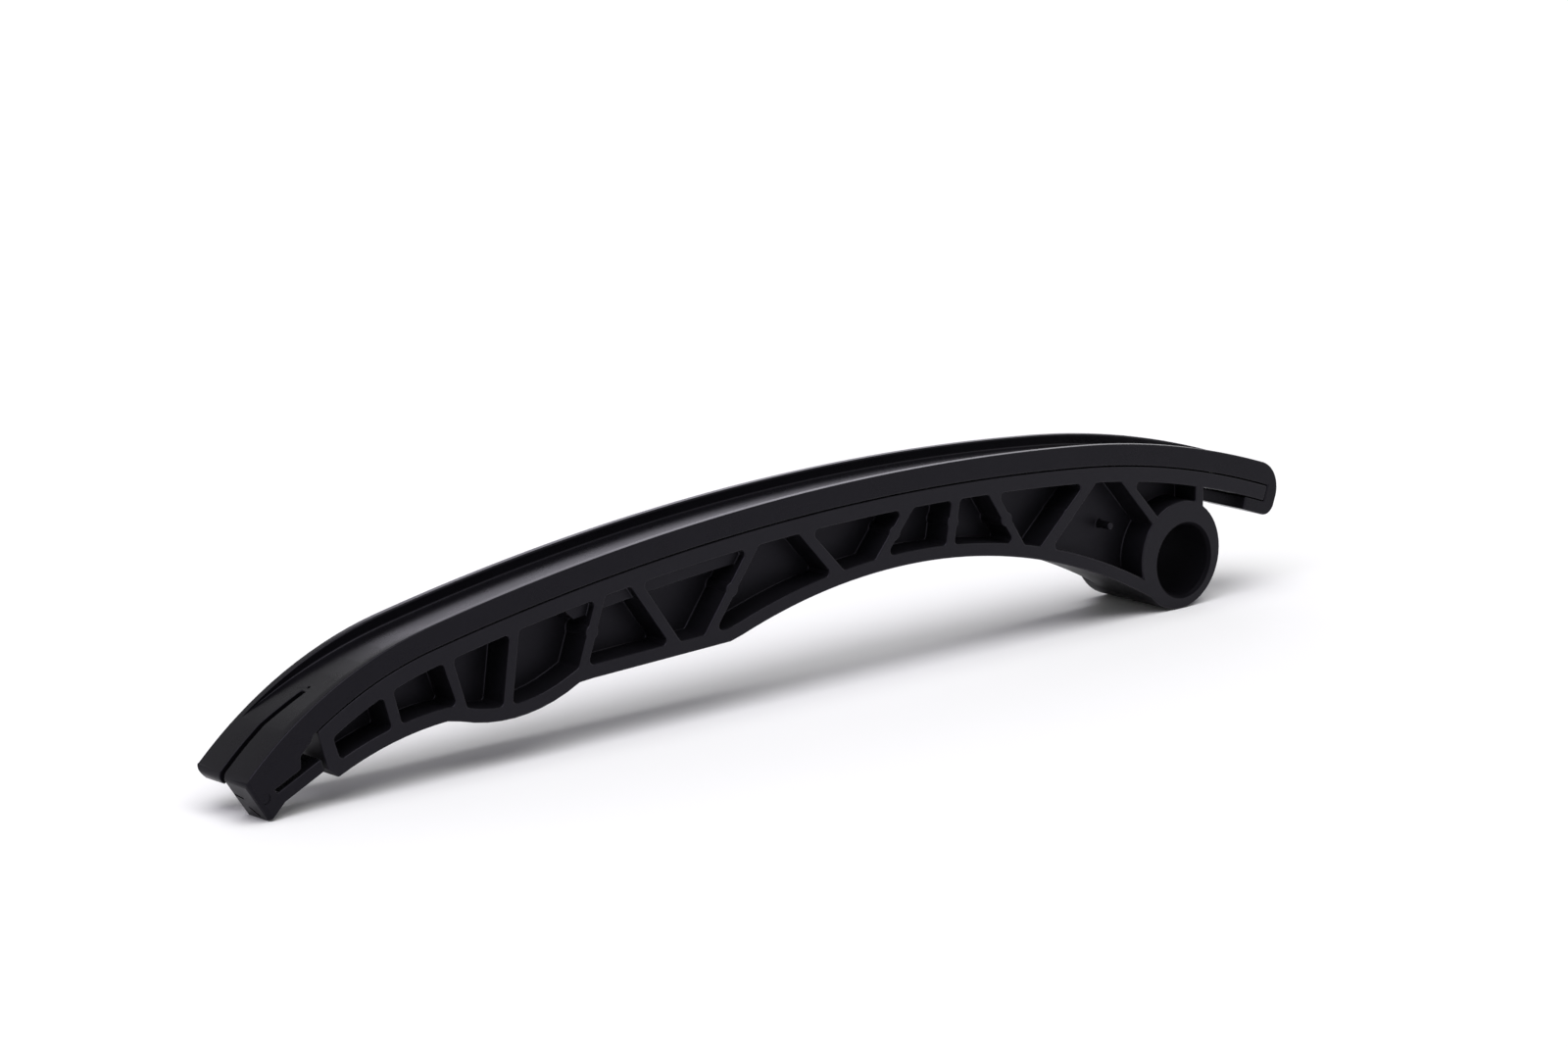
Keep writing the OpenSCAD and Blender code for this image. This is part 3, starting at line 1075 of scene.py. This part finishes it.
@dataclass(frozen=True)
class LampPlan:
    """One lamp of the studio.

    Attributes:
        lamp: Which lamp it is.
        place: Where it hangs.
        power: Its power in watts, or watts per square metre for the skylight.
        spread: The side of a softbox, or the angle of the skylight in degrees.
        tint: The colour of its light.
    """

    lamp: Lamp
    place: Point
    power: float
    spread: float
    tint: Colour


@dataclass
class Studio:
    """The floor, the lamps, the surrounding light and the camera.

    Attributes:
        lamps: The lamps.
        floor_half: Half the width of the floor.
        floor_grey: The floor's colour.
        camera_at: Where the camera stands.
        camera_right: The direction of the picture's width.
        camera_up: The direction of the picture's height.
        lens: The focal length in millimetres.
        middle: The point that the lamps face.
        horizon: Brightness of the surroundings near the ground.
        zenith: Brightness of the surroundings overhead.
        rise: Heights between which the one passes into the other, as shares of the way up.
        ambient: Brightness of the surroundings as the floor receives it.
    """

    lamps: tuple[LampPlan, ...]
    floor_half: float = 3.0
    floor_grey: float = 0.92
    camera_at: Point = (mm(-575.7), mm(-563.0), mm(188.8))
    camera_right: Point = (0.7513, -0.6599, -0.0091)
    camera_up: Point = (0.1533, 0.1610, 0.9750)
    lens: float = 112.5
    middle: Point = (mm(-85.0), 0.0, 0.0)
    horizon: float = 1.0
    zenith: float = 0.35
    rise: tuple[float, float] = (0.45, 0.7)
    ambient: float = 0.31

    def build_floor(self) -> None:
        """Lay the pale floor under the guide."""
        bpy.ops.object.select_all(action="DESELECT")
        bpy.ops.mesh.primitive_plane_add(size=2.0 * self.floor_half,
                                         location=(0.0, 0.0, CAD_BOX[0][2]))
        floor = bpy.context.object
        floor.name = "studio_floor"
        bpy.ops.object.transform_apply(location=True, rotation=True, scale=True)
        material = bpy.data.materials.new("studio_floor")
        material.use_nodes = True
        web = NodeWeb(material.node_tree)
        paint = web.node("ShaderNodeBsdfDiffuse", None, {"Color": web.opaque((self.floor_grey,) * 3)})
        web.node("ShaderNodeOutputMaterial", None, {"Surface": paint})
        floor.data.materials.append(material)

    def build_world(self) -> None:
        """Surround the guide with light that is brighter near the ground than overhead."""
        world = bpy.data.worlds.new("studio_surroundings")
        world.use_nodes = True
        bpy.context.scene.world = world
        web = NodeWeb(world.node_tree)
        towards = web.node("ShaderNodeTexCoord", output="Generated")
        height = web.node("ShaderNodeSeparateXYZ", None, {0: towards}, output="Z")
        rise = web.node("ShaderNodeMapRange", {"interpolation_type": "SMOOTHSTEP"},
                        {"Value": height, "From Min": self.rise[0], "From Max": self.rise[1],
                         "To Min": self.horizon, "To Max": self.zenith})
        seen = web.node("ShaderNodeLightPath", output="Is Camera Ray")
        mirrored = web.node("ShaderNodeLightPath", output="Is Glossy Ray")
        level = seen + mirrored * rise + (1 - seen - mirrored) * self.ambient
        light = web.node("ShaderNodeBackground", None,
                         {"Color": (1.0, 1.0, 1.0, 1.0), "Strength": level})
        web.node("ShaderNodeOutputWorld", None, {"Surface": light})

    def build_lamp(self, plan: LampPlan) -> None:
        """Hang a lamp that faces the guide.

        Args:
            plan: The lamp's plan.
        """
        is_sky = plan.lamp is Lamp.OVERHEAD
        bpy.ops.object.select_all(action="DESELECT")
        turn = (Vector(self.middle) - Vector(plan.place)).to_track_quat("-Z", "Y")
        bpy.ops.object.light_add(type="SUN" if is_sky else "AREA", location=plan.place,
                                 rotation=turn.to_euler())
        light = bpy.context.object
        light.name = plan.lamp.value
        light.data.energy = plan.power
        light.data.color = plan.tint
        if is_sky:
            light.data.angle = math.radians(plan.spread)
        else:
            light.data.size = plan.spread

    def build_camera(self) -> None:
        """Stand the camera where the photograph was taken."""
        bpy.ops.object.select_all(action="DESELECT")
        right, up = Vector(self.camera_right), Vector(self.camera_up)
        turn = Matrix((right, up, right.cross(up))).transposed()
        bpy.ops.object.camera_add(location=self.camera_at, rotation=turn.to_euler())
        camera = bpy.context.object
        camera.name = "studio_camera"
        camera.data.sensor_fit = "HORIZONTAL"
        camera.data.sensor_width = SENSOR_WIDTH
        camera.data.lens = self.lens
        camera.data.clip_start = mm(10.0)
        bpy.context.scene.camera = camera

    def build(self) -> None:
        """Set up the whole studio."""
        bpy.context.scene.view_settings.view_transform = "Standard"
        self.build_floor()
        self.build_world()
        for plan in self.lamps:
            self.build_lamp(plan)
        self.build_camera()


WHITE: Colour = (1.0, 1.0, 1.0)
SOFTBOX_TINT: Colour = (0.88, 0.84, 1.0)

LAMPS = (LampPlan(Lamp.OVERHEAD, (mm(-200.0), mm(-240.0), 0.95), 2.15, 60.0, WHITE),
         LampPlan(Lamp.LEFT, (-0.75, mm(-250.0), 0.75), 2.0, 0.4, SOFTBOX_TINT),
         LampPlan(Lamp.RIM, (0.61, 0.80, 0.56), 2.3, 0.7, SOFTBOX_TINT))

# The edge colours are paler than the body: partly wear, partly a painted highlight on the rounded edges.
CARRIER_PLASTIC = MouldedPlastic(
    name="carrier_satin_black", colour=(0.0040, 0.0038, 0.0048), bloom=(0.0060, 0.0057, 0.0072),
    edge=(0.0100, 0.0095, 0.0115), roughness=0.45, mottle=0.12, polish=0.22, specular=0.16,
    sheen=(0.84, 0.80, 1.0), grain=5200.0, grain_depth=mm(0.006), drag=0.1)

LINING_PLASTIC = MouldedPlastic(
    name="lining_smooth_black", colour=(0.0034, 0.0032, 0.0042), bloom=(0.0050, 0.0047, 0.0062),
    edge=(0.0085, 0.0080, 0.0100), roughness=0.28, mottle=0.06, polish=0.04, specular=0.12,
    sheen=(0.84, 0.80, 1.0), grain=3800.0, grain_depth=mm(0.0012), drag=0.05)


def main() -> None:
    """Build the guide and its studio, and report each piece."""
    logging.basicConfig(level=logging.INFO, format="%(name)s: %(message)s")
    Studio(LAMPS).build()
    for assembly in (Carrier(CARRIER_PLASTIC), Lining(LINING_PLASTIC)):
        piece = assembly.build()
        assembly.dress(piece)
        LOG.info("%s: %d faces, %s", piece.name, len(piece.data.polygons), assembly.finish.name)


if __name__ == "__main__":
    main()
